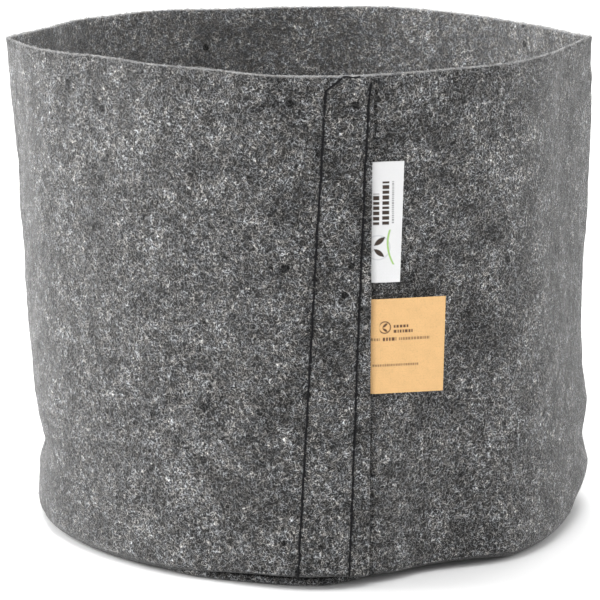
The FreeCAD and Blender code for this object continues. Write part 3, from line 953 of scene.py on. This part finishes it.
def label_material(name, ground, cross_threads, flecks, roughness, sheen):
    """Label ground with its print: a fine weave or fibres and flecks, from the cut's own places."""
    material, tree, shader = new_material(name)
    where = add_node(tree, "ShaderNodeUVMap", uv_map="place_in_cut").outputs[0]
    parts = add_node(tree, "ShaderNodeSeparateXYZ")
    tree.links.new(where, parts.inputs[0])
    weave = [calculate(tree, "SINE", calculate(tree, "MULTIPLY", parts.outputs[axis],
                                               2 * math.pi / pitch))
             for axis, pitch in ((0, 0.21 * MM), (1, 0.34 * MM))]
    relief = calculate(tree, "MULTIPLY", calculate(tree, "MULTIPLY", *weave), cross_threads)
    cloud = noise(tree, where, 160, 3.0, 0.6)
    fibre = strands(tree, where, 900, 0.05, 0.0)
    tone = calculate(tree, "MULTIPLY", graded(tree, cloud, 0.3, 0.7, 1 - flecks / 2, 1.0),
                     graded(tree, fibre, 0.0, 1.0, 1.0, 1 - flecks))
    # Painted light: the weave's raised threads are painted a little paler and its hollows a little
    # darker.
    tone = calculate(tree, "ADD", tone, calculate(tree, "MULTIPLY", relief, 0.04))
    ink = add_node(tree, "ShaderNodeAttribute", attribute_name="print")
    mix = add_node(tree, "ShaderNodeMix", data_type="RGBA")
    tree.links.new(ink.outputs["Alpha"], mix.inputs[0])
    tree.links.new(scaled(tree, ground, tone), mix.inputs[6])
    tree.links.new(ink.outputs["Color"], mix.inputs[7])
    tree.links.new(mix.outputs[2], shader.inputs["Base Color"])
    set_inputs(shader, Roughness=roughness, Specular_IOR_Level=0.25, Sheen_Weight=sheen)
    raised_by(tree, shader, calculate(tree, "ADD", relief, cloud), 0.3, 0.1 * MM)
    return material


def swinging(piece, node, bottom, height):
    """Bake a label's placement into its points and hide the CAD tab and flap it stands for; the
    swing line's ends are worked out but not used.
    """
    level = bottom + height / 2
    start = around(to_angle(lap_edge + 0.5 * MM), hinge_radius, level)
    end = around(hinge_angle + to_angle(1.5 * MM), hinge_radius, level)
    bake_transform(piece)
    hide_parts(node + "_tab", node + "_flap")


woven_low, woven_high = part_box("woven_label_flap")
woven_bottom = woven_low[2]
woven_height = woven_high[2] - woven_bottom
up = np.linspace(0, woven_height, int(woven_height / PRINT_STEP) + 1)[:, None]
width = WOVEN_WIDTH + WOVEN_SLANT * up / woven_height
leg = np.concatenate([np.linspace(-TUCKED, 0, 6)[:-1] / WOVEN_WIDTH,
                      np.linspace(0, 1, 57)])[None]
leg = np.where(leg < 0, leg * WOVEN_WIDTH, leg * (width - WOVEN_LOOP))
bow = np.radians(np.linspace(90, -90, 9))[None, 1:-1]
open_by = WOVEN_PLY * 0.55 + (WOVEN_LOOP - WOVEN_PLY * 0.55) * soft_step(leg, 2 * MM, 9 * MM)
along = np.concatenate([leg, width - WOVEN_LOOP + WOVEN_LOOP * np.cos(bow), leg[:, ::-1]], 1)
offset = np.concatenate([open_by, 0 * width + WOVEN_LOOP * np.sin(bow), -open_by[:, ::-1]], 1)
waves = ripple(along, up, seed=51, waves=8, turns=0, rises=160, size=0.15 * MM)
waves = waves * soft_step(along, 2 * MM, 10 * MM)
level = woven_bottom + up + 0 * along
middle_face, outward = label_frame(along, level)
ply_turn = np.concatenate([0 * leg + 1, np.sin(bow) + 0 * width, 0 * leg - 1], 1)[..., None]
fold_turn = np.concatenate([0 * leg, np.cos(bow) + 0 * width, 0 * leg], 1)[..., None]
sideways = np.cross(np.broadcast_to(upright, outward.shape), outward)
middle_face = middle_face + outward * (offset + waves)[..., None]
ply_outward = outward * ply_turn + sideways * fold_turn

front_up = up + 0 * along
front = soft_step(offset, 0, 0.02 * MM)
mark = dashes(front_up, along, (24.0, 37.0), (0.9, 3.5), 1.9, 61)
mark = mark + dashes(front_up, along, (24.0, 42.0), (4.7, 7.6), 1.9, 62)
mark = mark + leaf_shape(along, front_up, (3.7, 17.2), (3.0, 1.15), 38)
mark = mark + leaf_shape(along, front_up, (3.5, 12.4), (2.8, 1.05), -38)
fine = dashes(front_up, along, (24.6, 42.0), (8.7, 9.6), 0.9, 63)
ring = np.abs(np.hypot(along / MM - 3.0, front_up / MM - 14.6) - 5.0)
ink = printed((1 - soft_step(ring, 0.15, 0.40)) * 0.6 * front, GREY_INK)
ink = printed(stroke(along, front_up, (7.4, 22.0, 9.6, -8.2, 6.6), 0.42) * front, GREEN_INK, ink)
ink = printed(np.minimum(mark, 1) * front, DARK_INK, ink)
ink = printed(fine * 0.75 * front, DARK_INK, ink)
woven = label_mesh("woven_label_ribbon", middle_face, ply_outward, WOVEN_PLY, along, front_up, ink)
woven.data.materials.append(label_material("white_satin", SATIN_WHITE, 1.0, 0.03, 0.5, 0.2))
swinging(woven, "woven_label", woven_bottom, woven_height)

# ---------------------------------------------------------------- card label
# A stiff tag of kraft card, one end sewn into the lap below the woven label.  It carries
# made-up marks: a ringed sprout with two short rows of dashes, a long row, and a fine row.

CARD_WIDTH = 31.2 * MM
CARD_SLANT = 0.9 * MM
CARD_THICK = 0.4 * MM
KRAFT = (0.755, 0.472, 0.216)
BROWN_INK = (0.115, 0.055, 0.030)

card_low, card_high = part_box("card_label_flap")
card_bottom = card_low[2]
card_height = card_high[2] - card_bottom
up = np.linspace(0, card_height, int(card_height / PRINT_STEP) + 1)[:, None]
width = CARD_WIDTH + CARD_SLANT * up / card_height
share = np.linspace(0, 1, 134)[None]
along = np.concatenate([np.linspace(-TUCKED, 0, 6)[None, :-1] + 0 * width, share * width], 1)
level = card_bottom + up + 0 * along
middle_face, outward = label_frame(along, level)
curl = 0.9 * MM * soft_step(along, 4 * MM, CARD_WIDTH) * (1 - 2 * up / card_height)
sway = ripple(along, up, seed=55, waves=6, turns=0, rises=90, size=0.10 * MM)
sway = sway * soft_step(along, 2 * MM, 12 * MM)
middle_face = middle_face + outward * (curl * 0.35 + sway)[..., None]

front_up = up + 0 * along
ring = np.abs(np.hypot(along / MM - 6.2, front_up / MM - 28.0) - 2.4)
mark = (1 - soft_step(ring, 0.14, 0.34)) * soft_step(along, 3.6 * MM, 4.6 * MM)
mark = mark + leaf_shape(along, front_up, (6.3, 28.9), (1.5, 0.55), 40)
mark = mark + leaf_shape(along, front_up, (6.3, 26.9), (1.4, 0.5), -35)
mark = mark + dashes(along, front_up, (10.0, 16.2), (27.7, 28.9), 1.3, 71)
mark = mark + dashes(along, front_up, (10.0, 18.0), (25.6, 26.8), 1.3, 72)
mark = mark + dashes(along, front_up, (5.4, 11.1), (22.3, 23.7), 1.3, 73)
pale_mark = dashes(along, front_up, (0.4, 4.1), (22.4, 23.6), 1.0, 74)
pale_mark = pale_mark + dashes(along, front_up, (12.2, 25.4), (22.4, 23.6), 1.0, 75)
pale_mark = pale_mark + dashes(along, front_up, (1.2, 20.6), (11.5, 12.5), 0.8, 76)
ink = printed(np.minimum(pale_mark, 1) * 0.7, BROWN_INK)
ink = printed(np.minimum(mark, 1), BROWN_INK, ink)
card = label_mesh("card_label_tag", middle_face, outward, CARD_THICK, along, front_up, ink)
card.data.materials.append(label_material("kraft_card", KRAFT, 0.0, 0.12, 0.75, 0.0))
swinging(card, "card_label", card_bottom, card_height)

# ---------------------------------------------------------------- felt fuzz
# Loose fibre ends that stand off the needled felt all over its outer face, and thickly along
# the cut edge at the rim, where they catch the light as a pale line.

FUZZ_COUNT = 7000
RIM_FUZZ_COUNT = 6500
FIBRE_RADIUS = 0.045 * MM
FIBRE_LENGTH = (1.6 * MM, 4.6 * MM)
FIBRE_RINGS = 4
FIBRE_WHITE = (1.0, 0.995, 0.98)


def fibre_material():
    """Single fibres, each with a grey of its own from pale to nearly black."""
    material, tree, shader = new_material("felt_fibres")
    tone = add_node(tree, "ShaderNodeAttribute", attribute_name="fibre_tone").outputs["Fac"]
    tree.links.new(scaled(tree, FIBRE_WHITE, tone), shader.inputs["Base Color"])
    set_inputs(shader, Roughness=0.6, Specular_IOR_Level=0.3)
    return material


def fuzz_mesh(name, place, height, inset, lean, heading, seed):
    """Curled fibres as thin three-sided tubes with pointed ends, all in one mesh.

    A fibre leaves the felt at its place, height and inset from the outer face, turns steadily
    from its heading, and stands off by a quarter of its length; lean is 0 where it stands off
    away from the wall and 1 where it stands off upwards.
    """
    draw = np.random.default_rng(seed)
    count = len(place)
    length = draw.uniform(*FIBRE_LENGTH, (count, 1))
    run = np.linspace(0, 1, FIBRE_RINGS)[None]
    bearing = heading[:, None] + draw.normal(0, 2.0, (count, 1)) * run
    step = length / FIBRE_RINGS
    across = np.cumsum(step * np.cos(bearing), 1)
    upwards = np.cumsum(step * np.sin(bearing), 1) * (1 - 0.7 * lean[:, None])
    stand = length * draw.uniform(0.05, 0.25, (count, 1)) * np.sin(run * 2.2) - 0.05 * MM
    at = place[:, None] + across
    level = np.minimum(height[:, None] + upwards, bag_height)
    angle = to_angle(at)
    radius = outer_face(at, level) - inset[:, None] + stand * (1 - lean[:, None])
    line = around(angle, radius, level + rim_lift(angle, level) + stand * lean[:, None])
    ahead = np.gradient(line, axis=1)
    ahead /= np.linalg.norm(ahead, axis=-1, keepdims=True)
    side = np.cross(ahead, around(angle, 1.0, 0.3))
    side /= np.linalg.norm(side, axis=-1, keepdims=True)
    over = np.cross(ahead, side)
    phase = np.radians([0, 120, 240])[:, None]
    ring = FIBRE_RADIUS * (np.cos(phase) * side[:, :, None] + np.sin(phase) * over[:, :, None])
    tips = np.stack([line[:, 0] - ahead[:, 0] * 0.2 * MM, line[:, -1] + ahead[:, -1] * 0.3 * MM], 1)
    points = np.concatenate([(line[:, :, None] + ring).reshape(count, -1, 3), tips], 1)
    k = np.arange(3)
    following = (k + 1) % 3
    quads = np.concatenate([np.stack([3 * j + k, 3 * j + following, 3 * j + 3 + following,
                                      3 * j + 3 + k], -1) for j in range(FIBRE_RINGS - 1)])
    last = 3 * (FIBRE_RINGS - 1)
    tip = 3 * FIBRE_RINGS + 0 * k
    fans = np.concatenate([np.stack([tip, following, k], -1),
                           np.stack([tip + 1, last + k, last + following], -1)])
    first = (np.arange(count) * points.shape[1])[:, None, None]
    piece = solid(name, points.reshape(-1, 3), (first + quads).reshape(-1, 4),
                  (first + fans).reshape(-1, 3))
    tone = np.where(draw.random(count) < 0.3, 0.02, draw.uniform(0.15, 0.60, count))
    mark_points(piece, "fibre_tone", np.repeat(tone, points.shape[1]))
    piece.data.materials.append(fibres)
    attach(piece, "bag")


fibres = fibre_material()
scatter = np.random.default_rng(77)
fuzz_mesh("wall_felt_fuzz", scatter.uniform(lap_edge, circuit + lap_edge, FUZZ_COUNT),
          scatter.uniform(8 * MM, bag_height, FUZZ_COUNT), np.zeros(FUZZ_COUNT),
          np.zeros(FUZZ_COUNT), scatter.uniform(0, 2 * math.pi, FUZZ_COUNT), 78)
fuzz_mesh("rim_felt_fuzz", scatter.uniform(lap_edge, circuit + lap_edge, RIM_FUZZ_COUNT),
          bag_height - scatter.exponential(0.8 * MM, RIM_FUZZ_COUNT),
          scatter.uniform(0, FELT, RIM_FUZZ_COUNT) * (scatter.random(RIM_FUZZ_COUNT) < 0.6),
          scatter.uniform(0.2, 1, RIM_FUZZ_COUNT),
          scatter.integers(0, 2, RIM_FUZZ_COUNT) * math.pi
          + scatter.normal(0, 0.5, RIM_FUZZ_COUNT), 79)
